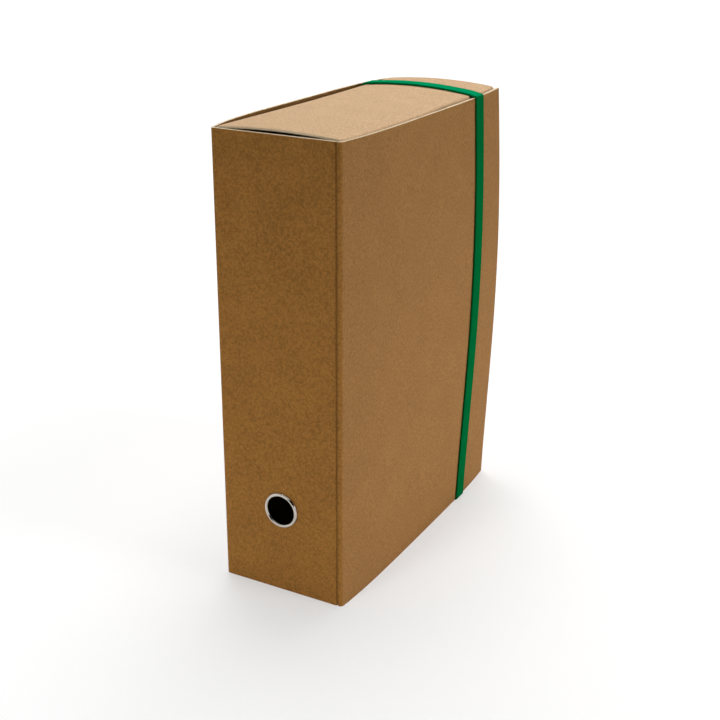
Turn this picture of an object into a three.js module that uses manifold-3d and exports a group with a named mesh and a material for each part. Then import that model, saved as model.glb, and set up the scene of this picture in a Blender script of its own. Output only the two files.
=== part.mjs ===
// A4 box file of kraft board: one wrapped board makes the back cover, the spine and the lid, a folded card
// tray inside holds the papers, and a flat elastic closes the lid.
// Millimetres, +Z up. While it is being drawn, X runs from the back cover to the lid, Y from the spine to the
// fore edge and Z from the foot to the head. The last lines centre the box on its foot.

import * as THREE from 'three';
import { mergeVertices } from 'three/addons/utils/BufferGeometryUtils.js';
import Module from 'manifold-3d';

// Closed box, measured at its flat spine and at the covers' straight corners
const height = 330;
const width = 98;
const depth = 247;

// Material thicknesses and the clearance between pieces that touch
const board = 2;
const card = 1.5;
const seat = 0.3;

// Folds: outer radius of the board's corners, and of the tray's corners
const boardFold = 2.6;
const cardFold = 2.4;

// The lid hinges on a score pressed into the spine, a little way in from its corner
const scoreFromCorner = 4.1;
const scoreDepth = 0.5;
const scoreHalfWidth = 0.7;

// How far the full box pushes its covers outwards
const lidHeadBow = 4.6;
const lidFootBow = 3;
const lidRimPower = 4;
const lidForeEdgeBow = 5.6;
const backHeadBow = 7.4;
const backFootBow = 4;
const backRimPower = 5;
const backForeEdgeBow = 3;
const foreEdgeBowSkew = 1.25;

// The back cover springs off the tray near its head and foot
const coverSpring = 5.6;
const coverSpringReach = 70;

// Tray
const headLift = 0.4;
const headArchAtSpine = 2.4;
const headArchAtForeEdge = 3.2;
const headTilt = 2.4;
const footClearance = 2.6;
const foreEdgeRecess = 1.7;
const returnDepth = 38;
const flapWidth = 96;
const flapBlend = 34;
const flapHeadDrop = 0.6;
const layerGap = 0.25;
const tabRoom = 3;
const tabTaper = 7;

// Finger ring
const ringHeight = 64.8;
const ringBore = 21.4;
const ringRim = 27;
const ringCrest = 23.8;
const ringRimHeight = 1.8;
const ringWall = 0.6;
const ringClinch = 1.6;
const washerOuter = 30;
const washerThickness = 0.8;

// Elastic and the metal ends that hold it inside the back cover. It runs aslant over the head and the foot.
const bandWidth = 13;
const bandThickness = 1.5;
const bandFromForeEdgeAtHead = 49.5;
const bandFromForeEdgeAtFoot = 55;
const bandSlant = 15;
const nickSideRoom = 0.5;
const clipFromEdge = 24;
const clipWidth = 17;
const clipWall = 0.6;
const clipHeight = 6;
const windowRoom = 1.2;

// Facets
const depthSteps = 16;
const heightSteps = 18;
const acrossSteps = 8;
const foldSteps = 4;
const ringFacets = 40;

const spineInner = board + seat;
const scoreX = width - scoreFromCorner;
const foreEdgeY = depth - foreEdgeRecess;
const flapEndY = foreEdgeY - flapWidth;
const bandHeadY = depth - bandFromForeEdgeAtHead;
const bandFootY = depth - bandFromForeEdgeAtFoot;
const nickHeight = seat / 3 + bandThickness + seat;

const clamp01 = (t) => Math.min(1, Math.max(0, t));
const lerp = (a, b, t) => a + (b - a) * t;
const smooth = (t) => clamp01(t) ** 2 * (3 - 2 * clamp01(t));
const hump = (t, power) => 1 - Math.abs(2 * clamp01(t) - 1) ** power;

// Outward bow of a cover at a depth and a height: a flat-topped curve along its head and foot edges, and a
// belly that grows towards the free fore edge.
function coverBow(y, z, headBow, footBow, rimPower, foreEdgeBow) {
  const along = clamp01((y - boardFold) / (depth - boardFold));
  const up = clamp01(z / height);
  const rim = lerp(footBow, headBow, up) * hump(along, rimPower);
  const belly = foreEdgeBow * Math.sin(Math.PI * up ** foreEdgeBowSkew) * Math.sin((Math.PI / 2) * along);
  return rim + belly;
}

const lidOuter = (y, z) => width + coverBow(y, z, lidHeadBow, lidFootBow, lidRimPower, lidForeEdgeBow);
const backOuter = (y, z) => -coverBow(y, z, backHeadBow, backFootBow, backRimPower, backForeEdgeBow);

// The tray's base lies against the back cover, apart from a strip along the head and the foot.
function trayBaseX(y, z) {
  const along = clamp01((y - boardFold) / (depth - boardFold));
  const fromEdge = Math.min(z, height - z);
  const spring = coverSpring * hump(along, backRimPower) * (1 - smooth(fromEdge / coverSpringReach));
  return backOuter(y, z) + board + seat + spring;
}

// The fore-edge flap lies against the lid, and the tray's returns tuck in under that flap.
const flapX = (y, z) => lidOuter(y, z) - board - seat;
const tuck = (y) => (card + layerGap) * smooth((y - flapEndY + flapBlend) / flapBlend);
const trayLidX = (y, z) => flapX(y, z) - tuck(y);

// The head wall is arched across the box, and midway along its depth it leans down towards the back cover.
function headZ(x, y) {
  const across = (2 * x) / width - 1;
  const arch = lerp(headArchAtSpine, headArchAtForeEdge, y / depth) * (1 - across * across);
  return height + headLift + arch + (headTilt / 2) * across * Math.sin((Math.PI * y) / depth);
}

// Middle of the elastic: upright on the lid, and further from the spine where it reaches the back cover.
const bandY = (x, z) => lerp(bandFootY, bandHeadY, z / height) + bandSlant * (1 - clamp01(x / width));

// A bent sheet as one closed solid. pointAt(i, j) gives the outer and the inner point of station i along the
// bent profile and step j across it.
function sheet(stations, steps, pointAt) {
  const positions = [];
  const index = [];
  const perStation = 2 * (steps + 1);
  for (let i = 0; i <= stations; i++) {
    for (let j = 0; j <= steps; j++) {
      const { outer, inner } = pointAt(i, j);
      positions.push(...outer, ...inner);
    }
  }
  const outerId = (i, j) => i * perStation + 2 * j;
  const innerId = (i, j) => outerId(i, j) + 1;
  const quad = (a, b, c, d) => index.push(a, b, c, a, c, d);
  for (let i = 0; i < stations; i++) {
    for (let j = 0; j < steps; j++) {
      quad(outerId(i, j), outerId(i + 1, j), outerId(i + 1, j + 1), outerId(i, j + 1));
      quad(innerId(i, j), innerId(i, j + 1), innerId(i + 1, j + 1), innerId(i + 1, j));
    }
    quad(outerId(i, 0), innerId(i, 0), innerId(i + 1, 0), outerId(i + 1, 0));
    quad(outerId(i, steps), outerId(i + 1, steps), innerId(i + 1, steps), innerId(i, steps));
  }
  for (let j = 0; j < steps; j++) {
    quad(outerId(0, j), outerId(0, j + 1), innerId(0, j + 1), innerId(0, j));
    quad(outerId(stations, j), innerId(stations, j), innerId(stations, j + 1), outerId(stations, j + 1));
  }
  const geometry = new THREE.BufferGeometry();
  geometry.setAttribute('position', new THREE.Float32BufferAttribute(positions, 3));
  geometry.setIndex(index);
  return facingOut(geometry);
}

// Turns a closed geometry's triangles over if they face inwards.
function facingOut(geometry) {
  const position = geometry.attributes.position;
  const index = geometry.index.array;
  const corner = [new THREE.Vector3(), new THREE.Vector3(), new THREE.Vector3()];
  let volume = 0;
  for (let t = 0; t < index.length; t += 3) {
    corner.forEach((point, k) => point.fromBufferAttribute(position, index[t + k]));
    volume += corner[0].dot(corner[1].clone().cross(corner[2]));
  }
  if (volume < 0) {
    for (let t = 0; t < index.length; t += 3) {
      [index[t + 1], index[t + 2]] = [index[t + 2], index[t + 1]];
    }
  }
  geometry.computeVertexNormals();
  return geometry;
}

// Evenly spaced values from a to b, both ends included.
const spread = (a, b, steps) => Array.from({ length: steps + 1 }, (_, k) => lerp(a, b, k / steps));

// A quarter fold: directions from one angle to another, without the two end directions.
function foldDirections(fromDegrees, toDegrees) {
  return spread(fromDegrees, toDegrees, foldSteps)
    .slice(1, -1)
    .map(THREE.MathUtils.degToRad)
    .map((angle) => [Math.cos(angle), Math.sin(angle)]);
}

const wasm = await Module();
wasm.setup();

function toSolid(geometry) {
  const bare = geometry.clone();
  bare.deleteAttribute('normal');
  bare.deleteAttribute('uv');
  const merged = mergeVertices(bare, 1e-4);
  return new wasm.Manifold(new wasm.Mesh({
    numProp: 3,
    vertProperties: new Float32Array(merged.attributes.position.array),
    triVerts: new Uint32Array(merged.index.array),
  }));
}

function toGeometry(solid) {
  const mesh = solid.getMesh();
  const geometry = new THREE.BufferGeometry();
  geometry.setAttribute('position', new THREE.Float32BufferAttribute(mesh.vertProperties, 3));
  geometry.setIndex(new THREE.Uint32BufferAttribute(mesh.triVerts, 1));
  geometry.computeVertexNormals();
  return geometry;
}

const cut = (geometry, ...tools) => toGeometry(
  tools.reduce((solid, tool) => solid.subtract(toSolid(tool)), toSolid(geometry)),
);
const join = (...geometries) => toGeometry(
  geometries.map(toSolid).reduce((solid, next) => solid.add(next)),
);

// A block between two corners, for windows and nicks.
function block([x0, y0, z0], [x1, y1, z1]) {
  return new THREE.BoxGeometry(x1 - x0, y1 - y0, z1 - z0)
    .translate((x0 + x1) / 2, (y0 + y1) / 2, (z0 + z1) / 2);
}

const cutReach = 3 * board;

// Nick in the lid's foot edge that the elastic runs under.
function footNick() {
  const x = lidOuter(bandFootY, 0);
  const half = bandWidth / 2 + nickSideRoom;
  return block([x - cutReach, bandFootY - half, -board], [x + cutReach, bandFootY + half, nickHeight]);
}

function spineHole(radius) {
  return new THREE.CylinderGeometry(radius, radius, 2 * cutReach, ringFacets)
    .translate(width / 2, 0, ringHeight);
}

// Back cover and spine: one board with a rounded fold. It ends at the pressed score.
function backAndSpine() {
  const cover = spread(depth, boardFold, depthSteps).map((y) => (z) => ({
    outer: [backOuter(y, z), y, z],
    inner: [backOuter(y, z) + board, y, z],
  }));
  const inside = boardFold - board;
  const fold = foldDirections(180, 270).map(([cos, sin]) => (z) => ({
    outer: [boardFold + boardFold * cos, boardFold + boardFold * sin, z],
    inner: [boardFold + inside * cos, boardFold + inside * sin, z],
  }));
  const end = scoreX - seat / 2;
  const spine = [[boardFold, 0], [end - scoreHalfWidth, 0], [end, scoreDepth]].map(([x, y]) => (z) => ({
    outer: [x, y, z],
    inner: [x, board, z],
  }));
  const profile = [...cover, ...fold, ...spine];
  const levels = spread(0, height, heightSteps);
  const wrap = sheet(profile.length - 1, heightSteps, (i, j) => profile[i](levels[j]));
  return cut(wrap, spineHole(ringBore / 2 + ringWall + seat));
}

// Lid: the narrow strip beyond the score, a rounded fold and the bowed cover, all one board.
function lid() {
  const start = scoreX + seat / 2;
  const strip = [[start, scoreDepth], [start + scoreHalfWidth, 0], [width - boardFold, 0]].map(([x, y]) => (z) => ({
    outer: [x, y, z],
    inner: [x, board, z],
  }));
  const inside = boardFold - board;
  const centre = width - boardFold;
  const fold = foldDirections(270, 360).map(([cos, sin]) => (z) => ({
    outer: [centre + boardFold * cos, boardFold + boardFold * sin, z],
    inner: [centre + inside * cos, boardFold + inside * sin, z],
  }));
  const cover = spread(boardFold, depth, depthSteps).map((y) => (z) => ({
    outer: [lidOuter(y, z), y, z],
    inner: [lidOuter(y, z) - board, y, z],
  }));
  const profile = [...strip, ...fold, ...cover];
  const levels = spread(0, height, heightSteps);
  const panel = sheet(profile.length - 1, heightSteps, (i, j) => profile[i](levels[j]));
  return cut(panel, footNick());
}

// One quarter fold of the tray about a corner, as outer and inner points in the X-Z plane.
const trayFold = (fromDegrees, toDegrees, centreAt) => foldDirections(fromDegrees, toDegrees).map(
  ([cos, sin]) => (y) => {
    const [x, z] = centreAt(y);
    const inside = cardFold - card;
    return { outer: [x + cardFold * cos, y, z + cardFold * sin], inner: [x + inside * cos, y, z + inside * sin] };
  },
);

// The tray's head return, head wall, base, foot wall and foot return, bent from one strip of card.
function trayShell() {
  const headLevel = (x, y) => headZ(x, y) - cardFold;
  const lidCorner = (y, level) => trayLidX(y, level) - cardFold;
  const baseCorner = (y, level) => trayBaseX(y, level) + cardFold;
  const headRight = (y) => {
    const x = lidCorner(y, height);
    return [x, headLevel(x, y)];
  };
  const headLeft = (y) => {
    const x = baseCorner(y, height);
    return [x, headLevel(x, y)];
  };
  const footLevel = footClearance + cardFold;
  const footLeft = (y) => [baseCorner(y, footLevel), footLevel];
  const footRight = (y) => [lidCorner(y, footLevel), footLevel];

  const returnAt = (t, corner, direction) => (y) => {
    const level = corner(y)[1];
    const z = level - direction * t;
    const x = trayLidX(y, direction > 0 ? Math.min(z, height) : z);
    const blend = smooth(t / cardFold);
    const outer = lerp(corner(y)[0] + cardFold, x, blend);
    return { outer: [outer, y, z], inner: [outer - card, y, z] };
  };
  const returnReach = returnDepth - cardFold;
  const headReturn = spread(returnReach, 0, 3).map((t) => returnAt(t, headRight, 1));
  const footReturn = spread(0, returnReach, 3).map((t) => returnAt(t, footRight, -1));
  const headWall = spread(1, 0, acrossSteps).map((t) => (y) => {
    const x = lerp(headLeft(y)[0], headRight(y)[0], t);
    return { outer: [x, y, headZ(x, y)], inner: [x, y, headZ(x, y) - card] };
  });
  const base = spread(1, 0, heightSteps).map((t) => (y) => {
    const z = lerp(footLevel, headLeft(y)[1], t);
    const nearHead = smooth((z - height + coverSpringReach) / coverSpringReach);
    const x = lerp(trayBaseX(y, z), headLeft(y)[0] - cardFold, z > height ? 1 : nearHead ** 8);
    return { outer: [x, y, z], inner: [x + card, y, z] };
  });
  const footWall = spread(0, 1, acrossSteps / 2).map((t) => (y) => {
    const x = lerp(footLeft(y)[0], footRight(y)[0], t);
    return { outer: [x, y, footClearance], inner: [x, y, footClearance + card] };
  });
  const profile = [
    ...headReturn,
    ...trayFold(0, 90, headRight),
    ...headWall,
    ...trayFold(90, 180, headLeft),
    ...base,
    ...trayFold(180, 270, footLeft),
    ...footWall,
    ...trayFold(270, 360, footRight),
    ...footReturn,
  ];
  const depths = spread(spineInner + card / 2, foreEdgeY - card / 2, depthSteps);
  return sheet(profile.length - 1, depthSteps, (i, j) => profile[i](depths[j]));
}

// Fore-edge wall of the tray with the wide flap that folds in under the lid.
function foreEdgeWallAndFlap() {
  const low = footClearance + card / 2;
  const centreY = foreEdgeY - cardFold;
  const wall = spread(0, 1, acrossSteps).map((t) => (v) => {
    const level = (x) => lerp(low, headZ(x, foreEdgeY) - card / 2, v);
    const left = trayBaseX(foreEdgeY, Math.min(height, lerp(low, height, v))) + card / 2;
    const right = flapX(foreEdgeY, lerp(low, height, v)) - cardFold;
    const x = lerp(left, right, t);
    return { outer: [x, foreEdgeY, level(x)], inner: [x, foreEdgeY - card, level(x)] };
  });
  const flapLevel = (v) => lerp(low, height - flapHeadDrop, v);
  const fold = foldDirections(90, 0).map(([cos, sin]) => (v) => {
    const z = flapLevel(v);
    const x = flapX(foreEdgeY, z) - cardFold;
    const inside = cardFold - card;
    return {
      outer: [x + cardFold * cos, centreY + cardFold * sin, z],
      inner: [x + inside * cos, centreY + inside * sin, z],
    };
  });
  const flap = spread(centreY, flapEndY, acrossSteps).map((y) => (v) => {
    const z = flapLevel(v);
    return { outer: [flapX(y, z), y, z], inner: [flapX(y, z) - card, y, z] };
  });
  const profile = [...wall, ...fold, ...flap];
  return sheet(profile.length - 1, heightSteps, (i, j) => profile[i](j / heightSteps));
}

// Glue tab that fixes the tray behind the spine. It ends short of the ring's washer.
function spineTab() {
  const end = width / 2 - washerOuter / 2 - tabRoom;
  return sheet(1, heightSteps, (i, j) => {
    const low = footClearance + 2 * cardFold + tabTaper * i;
    const high = height - 2 * cardFold - tabTaper * i;
    const z = lerp(low, high, j / heightSteps);
    const x = i === 0 ? trayBaseX(spineInner, z) + card / 2 : end;
    return { outer: [x, spineInner, z], inner: [x, spineInner + card, z] };
  });
}

// Opening in the tray's base for a metal end of the elastic.
function clipWindow(mouthZ) {
  const towardsMiddle = Math.sign(height / 2 - mouthZ);
  const y = bandY(0, mouthZ);
  const half = clipWidth / 2 + windowRoom;
  const x = clipBackX(mouthZ);
  const edges = [mouthZ - towardsMiddle * windowRoom, mouthZ + towardsMiddle * (clipHeight + windowRoom)];
  return block([x, y - half, Math.min(...edges)], [x + 3 * cutReach, y + half, Math.max(...edges)]);
}

const innerTray = () => cut(
  join(trayShell(), foreEdgeWallAndFlap(), spineTab()),
  ...clipMouths.map(clipWindow),
);

// Finger ring: a rolled metal eyelet with its rim on the spine and its end turned over the washer.
function fingerRing() {
  const bore = ringBore / 2;
  const rim = ringRim / 2;
  const barrel = bore + ringWall;
  const back = board + seat + washerThickness + seat;
  const crest = ringCrest / 2;
  const front = spread(0, 180, 2 * foldSteps).map((degrees) => {
    const angle = THREE.MathUtils.degToRad(degrees);
    const half = degrees < 90 ? rim - crest : crest - bore;
    return new THREE.Vector2(crest + half * Math.cos(angle), -seat - ringRimHeight * Math.sin(angle));
  });
  const profile = [
    ...front,
    new THREE.Vector2(bore, back),
    new THREE.Vector2(bore + ringWall, back + ringWall),
    new THREE.Vector2(barrel + ringClinch, back + ringWall),
    new THREE.Vector2(barrel + ringClinch, back),
    new THREE.Vector2(barrel, back),
    new THREE.Vector2(barrel, -seat),
    front[0].clone(),
  ];
  const geometry = new THREE.LatheGeometry(profile, ringFacets);
  geometry.translate(width / 2, 0, -ringHeight).rotateX(Math.PI).scale(1, -1, 1);
  return closed(geometry);
}

function ringWasher() {
  const inner = ringBore / 2 + ringWall + seat;
  const front = spineInner;
  const back = spineInner + washerThickness;
  const profile = [[inner, front], [washerOuter / 2, front], [washerOuter / 2, back], [inner, back], [inner, front]]
    .map(([radius, y]) => new THREE.Vector2(radius, y));
  const geometry = new THREE.LatheGeometry(profile, ringFacets);
  geometry.translate(width / 2, 0, -ringHeight).rotateX(Math.PI).scale(1, -1, 1);
  return closed(geometry);
}

// Merges a revolved geometry's seam and turns its faces outwards.
function closed(geometry) {
  const bare = geometry.clone();
  bare.deleteAttribute('normal');
  bare.deleteAttribute('uv');
  return facingOut(mergeVertices(bare, 1e-4));
}

// The elastic's centre line keeps this far from the board that it lies on.
const bandOffset = seat + bandThickness / 2;

// Heights of the metal ends' open mouths, which the elastic's ends go into.
const clipMouths = [height - clipFromEdge, clipFromEdge];

// Back face of a metal end: it lies on the highest spot of the bowed cover under it.
function clipBackX(mouthZ) {
  const levels = [mouthZ, mouthZ + Math.sign(height / 2 - mouthZ) * clipHeight];
  const sides = [-0.5, 0.5].map((side) => bandY(0, mouthZ) + side * clipWidth);
  const faces = levels.flatMap((z) => sides.map((y) => backOuter(y, z)));
  return Math.max(...faces) + board + seat;
}

// Route of the elastic in the X-Z plane: points with the outward direction there. It starts in the upper metal
// end, goes up between the back cover and the tray, over the head, down the lid and under the foot, and comes
// up again between the back cover and the tray into the lower metal end.
function bandRoute() {
  const arc = (x, z, fromDegrees, toDegrees, radius) => spread(fromDegrees, toDegrees, foldSteps)
    .map(THREE.MathUtils.degToRad)
    .map((angle) => ({
      x: x + radius * Math.cos(angle),
      z: z + radius * Math.sin(angle),
      out: [Math.cos(angle), Math.sin(angle)],
    }));
  const [upper, lower] = clipMouths;
  const inClip = clipHeight - clipWall - seat;
  const lidAt = (z) => lidOuter(bandY(width, z), z);
  const backY = [bandY(0, height), bandY(0, 0)];
  const headStart = trayBaseX(backY[0], height) + cardFold;
  const footStart = trayBaseX(backY[1], 0) + cardFold;
  const headEnd = trayLidX(bandHeadY, height) - cardFold;
  const turn = cardFold + bandOffset;
  const route = [];

  const upperX = clipBackX(upper) + clipWall + bandOffset;
  const headTurnZ = headZ(headStart, backY[0]) - cardFold;
  route.push({ x: upperX, z: upper - inClip, out: [-1, 0] });
  route.push({ x: upperX, z: upper + clipHeight / 2, out: [-1, 0] });
  route.push(...arc(headStart, headTurnZ, 180, 90, turn).slice(0, -1));
  spread(headStart, headEnd, 2 * acrossSteps).forEach((x) => {
    route.push({ x, z: headZ(x, bandY(x, height)) + bandOffset, out: [0, 1] });
  });
  route.push(...arc(lidAt(height), height, 80, 0, bandOffset));
  spread(height, nickHeight, heightSteps).slice(1, -1).forEach((z) => {
    route.push({ x: lidAt(z) + bandOffset, z, out: [1, 0] });
  });
  route.push(...arc(lidAt(0), nickHeight, 0, -90, bandOffset));
  route.push(...arc(footStart, nickHeight - bandOffset + turn, 270, 180, turn));
  const lowerX = clipBackX(lower) + clipWall + bandOffset;
  route.push({ x: lowerX, z: lower - clipHeight / 2, out: [-1, 0] });
  route.push({ x: lowerX, z: lower + inClip, out: [-1, 0] });
  return route;
}

function elasticBand() {
  const route = bandRoute();
  const half = bandThickness / 2;
  return sheet(route.length - 1, 1, (i, j) => {
    const { x, z, out: [outX, outZ] } = route[i];
    const y = bandY(x, z) + (j - 0.5) * bandWidth;
    return {
      outer: [x + half * outX, y, z + half * outZ],
      inner: [x - half * outX, y, z - half * outZ],
    };
  });
}

// Folded metal end that the elastic is crimped in, open on the side that the elastic comes from.
function elasticClip(mouthZ, openUp) {
  const slit = bandThickness + 2 * seat;
  const outerWidth = slit + 2 * clipWall;
  const section = new THREE.Shape([
    [0, 0], [outerWidth, 0], [outerWidth, clipHeight], [outerWidth - clipWall, clipHeight],
    [outerWidth - clipWall, clipWall], [clipWall, clipWall], [clipWall, clipHeight], [0, clipHeight],
  ].map(([x, z]) => new THREE.Vector2(x, z)));
  const geometry = new THREE.ExtrudeGeometry(section, { depth: clipWidth, bevelEnabled: false, steps: 1 });
  geometry.translate(0, 0, -clipWidth / 2).rotateX(Math.PI / 2);
  if (!openUp) {
    geometry.rotateX(Math.PI);
  }
  geometry.translate(clipBackX(mouthZ), bandY(0, mouthZ), openUp ? mouthZ - clipHeight : mouthZ + clipHeight);
  return closed(geometry);
}

const kraftBoard = { color: 0x8a6539, roughness: 0.86, metalness: 0 };
const kraftCard = { color: 0xcda97a, roughness: 0.85, metalness: 0 };
const nickel = { color: 0xc9ccd0, roughness: 0.2, metalness: 1 };
const greenElastic = { color: 0x006b35, roughness: 0.8, metalness: 0 };
const [upperMouth, lowerMouth] = clipMouths;

const pieces = [
  ['back_and_spine', backAndSpine(), kraftBoard],
  ['lid', lid(), kraftBoard],
  ['inner_tray', innerTray(), kraftCard],
  ['finger_ring', fingerRing(), nickel],
  ['ring_washer', ringWasher(), nickel],
  ['elastic_band', elasticBand(), greenElastic],
  ['elastic_clip_head', elasticClip(upperMouth, true), nickel],
  ['elastic_clip_foot', elasticClip(lowerMouth, false), nickel],
];

const group = new THREE.Group();
for (const [name, geometry, look] of pieces) {
  const mesh = new THREE.Mesh(geometry, new THREE.MeshStandardMaterial(look));
  mesh.name = name;
  group.add(mesh);
}

// The origin is the middle of the closed box, on the surface that it stands on.
const extent = new THREE.Box3().setFromObject(group);
const middle = extent.getCenter(new THREE.Vector3());
group.position.set(-middle.x, -middle.y, -extent.min.z);

export default group;
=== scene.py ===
"""Looks of a kraft-board box file: boards with pale cut edges, card tray, elastic, ring, studio."""

import logging
import math
from dataclasses import dataclass, field, replace
from enum import Enum

import bpy
import numpy as np
from mathutils import Matrix, Vector

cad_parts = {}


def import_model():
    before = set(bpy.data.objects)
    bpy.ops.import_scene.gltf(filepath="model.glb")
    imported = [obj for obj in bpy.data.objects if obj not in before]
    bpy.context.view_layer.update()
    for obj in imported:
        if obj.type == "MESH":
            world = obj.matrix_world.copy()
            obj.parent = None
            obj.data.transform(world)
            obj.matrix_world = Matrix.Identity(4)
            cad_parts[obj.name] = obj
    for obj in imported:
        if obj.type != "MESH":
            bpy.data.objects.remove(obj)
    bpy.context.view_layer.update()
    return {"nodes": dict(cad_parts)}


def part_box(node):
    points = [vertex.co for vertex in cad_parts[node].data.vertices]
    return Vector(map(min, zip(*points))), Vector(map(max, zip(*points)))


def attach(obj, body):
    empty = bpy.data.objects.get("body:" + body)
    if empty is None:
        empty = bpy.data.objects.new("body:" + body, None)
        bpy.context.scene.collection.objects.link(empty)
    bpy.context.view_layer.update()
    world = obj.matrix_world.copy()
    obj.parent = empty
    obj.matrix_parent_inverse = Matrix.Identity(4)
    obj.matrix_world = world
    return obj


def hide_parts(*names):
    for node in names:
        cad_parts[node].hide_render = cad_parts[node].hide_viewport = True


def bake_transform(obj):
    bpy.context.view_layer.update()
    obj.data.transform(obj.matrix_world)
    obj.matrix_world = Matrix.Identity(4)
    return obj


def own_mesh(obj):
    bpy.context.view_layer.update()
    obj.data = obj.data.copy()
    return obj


log = logging.getLogger("box_file")
MM = 0.001
OCTAVES = 3.0
FINE_OCTAVES = 2.0

Colour = tuple[float, float, float]
Socket = bpy.types.NodeSocket
Length = float | np.ndarray
Row = tuple[np.ndarray, np.ndarray]
WHITE: Colour = (1.0, 1.0, 1.0)


class Facing(Enum):
    """Which side of a sheet a face belongs to; the value is its material slot."""

    OUTER = 0
    CUT = 1
    INNER = 2


class Nodes:
    """A small helper round one node tree."""

    def __init__(self, tree: bpy.types.NodeTree) -> None:
        """Keeps the tree that the nodes go into."""
        self.tree = tree

    def add(self, kind: str, **settings: str | bool) -> bpy.types.Node:
        """Adds a node.

        Args:
            kind: the node's type.
            settings: its properties by name.

        Returns:
            The node.
        """
        node = self.tree.nodes.new(kind)
        for name, value in settings.items():
            setattr(node, name, value)
        return node

    def link(self, source: Socket, target: Socket) -> None:
        """Joins an output to an input."""
        self.tree.links.new(source, target)

    def coordinate(self, kind: str) -> Socket:
        """Reads one of the texture coordinates."""
        return self.add("ShaderNodeTexCoord").outputs[kind]

    def part(self, vector: Socket, axis: str) -> Socket:
        """Takes one component of a vector.

        Args:
            vector: the vector's socket.
            axis: X, Y or Z.

        Returns:
            The component's socket.
        """
        node = self.add("ShaderNodeSeparateXYZ")
        self.link(vector, node.inputs[0])
        return node.outputs[axis]

    def turned(self, axis: str) -> Socket:
        """How squarely a face looks along an axis, from 0 to 1."""
        return self.math("ABSOLUTE", self.part(self.coordinate("Normal"), axis))

    def math(self, operation: str, first: Socket | float, second: Socket | float = 0.0) -> Socket:
        """Adds a Math node.

        Args:
            operation: the Math node's operation.
            first: a socket or a number.
            second: a socket or a number.

        Returns:
            The result's socket.
        """
        node = self.add("ShaderNodeMath", operation=operation)
        for socket, value in zip(node.inputs, (first, second)):
            if isinstance(value, (int, float)):
                socket.default_value = value
            else:
                self.link(value, socket)
        return node.outputs[0]

    def weighted(self, *parts: tuple[Socket, float]) -> Socket:
        """Sums values, each times its weight.

        Args:
            parts: sockets with their weights.

        Returns:
            The sum's socket.
        """
        total, *rest = (self.math("MULTIPLY", value, weight) for value, weight in parts)
        for share in rest:
            total = self.math("ADD", total, share)
        return total

    def dot(self, vector: Socket, direction: Colour) -> Socket:
        """Measures a vector along a direction.

        Args:
            vector: the vector's socket.
            direction: what it is measured along.

        Returns:
            The length's socket.
        """
        node = self.add("ShaderNodeVectorMath", operation="DOT_PRODUCT")
        node.inputs[1].default_value = direction
        self.link(vector, node.inputs[0])
        return node.outputs["Value"]

    def span(self, value: Socket, source: tuple[float, float], target: tuple[float, float],
             curve: str = "LINEAR") -> Socket:
        """Maps one range of numbers to another, and holds its ends.

        Args:
            value: the number's socket.
            source: two numbers.
            target: what they become.
            curve: how the numbers between them run.

        Returns:
            The mapped number's socket.
        """
        node = self.add("ShaderNodeMapRange", interpolation_type=curve)
        for name, number in zip(("From Min", "From Max", "To Min", "To Max"), (*source, *target)):
            node.inputs[name].default_value = number
        self.link(value, node.inputs["Value"])
        return node.outputs["Result"]


class Surface(Nodes):
    """The node tree of one material, with its shader."""

    def __init__(self, name: str) -> None:
        """Starts a node material.

        Args:
            name: the material's name.
        """
        self.material = bpy.data.materials.new(name)
        self.material.use_nodes = True
        super().__init__(self.material.node_tree)
        self.shader = self.tree.nodes["Principled BSDF"]
        self.output = self.tree.nodes["Material Output"]

    def noise(self, vector: Socket, scale: float, roughness: float = 0.5,
              detail: float = OCTAVES) -> Socket:
        """Adds fractal noise.

        Args:
            vector: where the noise is read.
            scale: features per metre.
            roughness: share of the finer octaves.
            detail: octaves.

        Returns:
            The noise value's socket.
        """
        node = self.add("ShaderNodeTexNoise")
        node.inputs["Scale"].default_value = scale
        node.inputs["Detail"].default_value = detail
        node.inputs["Roughness"].default_value = roughness
        self.link(vector, node.inputs["Vector"])
        return node.outputs["Fac"]

    def attribute(self, name: str) -> Socket:
        """Reads a number stored on the mesh."""
        return self.add("ShaderNodeAttribute", attribute_name=name).outputs["Fac"]

    def wave(self, value: Socket, pitch: float) -> Socket:
        """Turns a length into rounded ridges from 0 to 1, one for each pitch."""
        turns = self.math("MULTIPLY", value, math.pi / pitch)
        return self.math("ABSOLUTE", self.math("SINE", turns))

    def ramp(self, value: Socket, *stops: tuple[float, Colour]) -> Socket:
        """Adds a colour ramp.

        Args:
            value: what the ramp reads.
            stops: positions and linear colours.

        Returns:
            The colour's socket.
        """
        node = self.add("ShaderNodeValToRGB")
        elements = node.color_ramp.elements
        while len(elements) < len(stops):
            elements.new(0.5)
        for element, (position, colour) in zip(elements, stops):
            element.position = position
            element.color = (*colour, 1.0)
        self.link(value, node.inputs["Fac"])
        return node.outputs["Color"]

    def multiply(self, first: Socket, second: Socket) -> Socket:
        """Multiplies two colours.

        Args:
            first: a colour's socket.
            second: a colour's socket.

        Returns:
            The product's socket.
        """
        node = self.add("ShaderNodeVectorMath", operation="MULTIPLY")
        self.link(first, node.inputs[0])
        self.link(second, node.inputs[1])
        return node.outputs["Vector"]

    def bump(self, height: Socket, strength: float, distance: float) -> None:
        """Gives the shader a bumped normal.

        Args:
            height: the height's socket.
            strength: from 0 to 1.
            distance: depth of the bumps in metres.
        """
        node = self.add("ShaderNodeBump")
        node.inputs["Strength"].default_value = strength
        node.inputs["Distance"].default_value = distance
        self.link(height, node.inputs["Height"])
        self.link(node.outputs["Normal"], self.shader.inputs["Normal"])

    def matt(self, roughness: float, gloss: float) -> None:
        """Sets how rough the surface is and how much it mirrors."""
        self.shader.inputs["Roughness"].default_value = roughness
        self.shader.inputs["Specular IOR Level"].default_value = gloss


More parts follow.
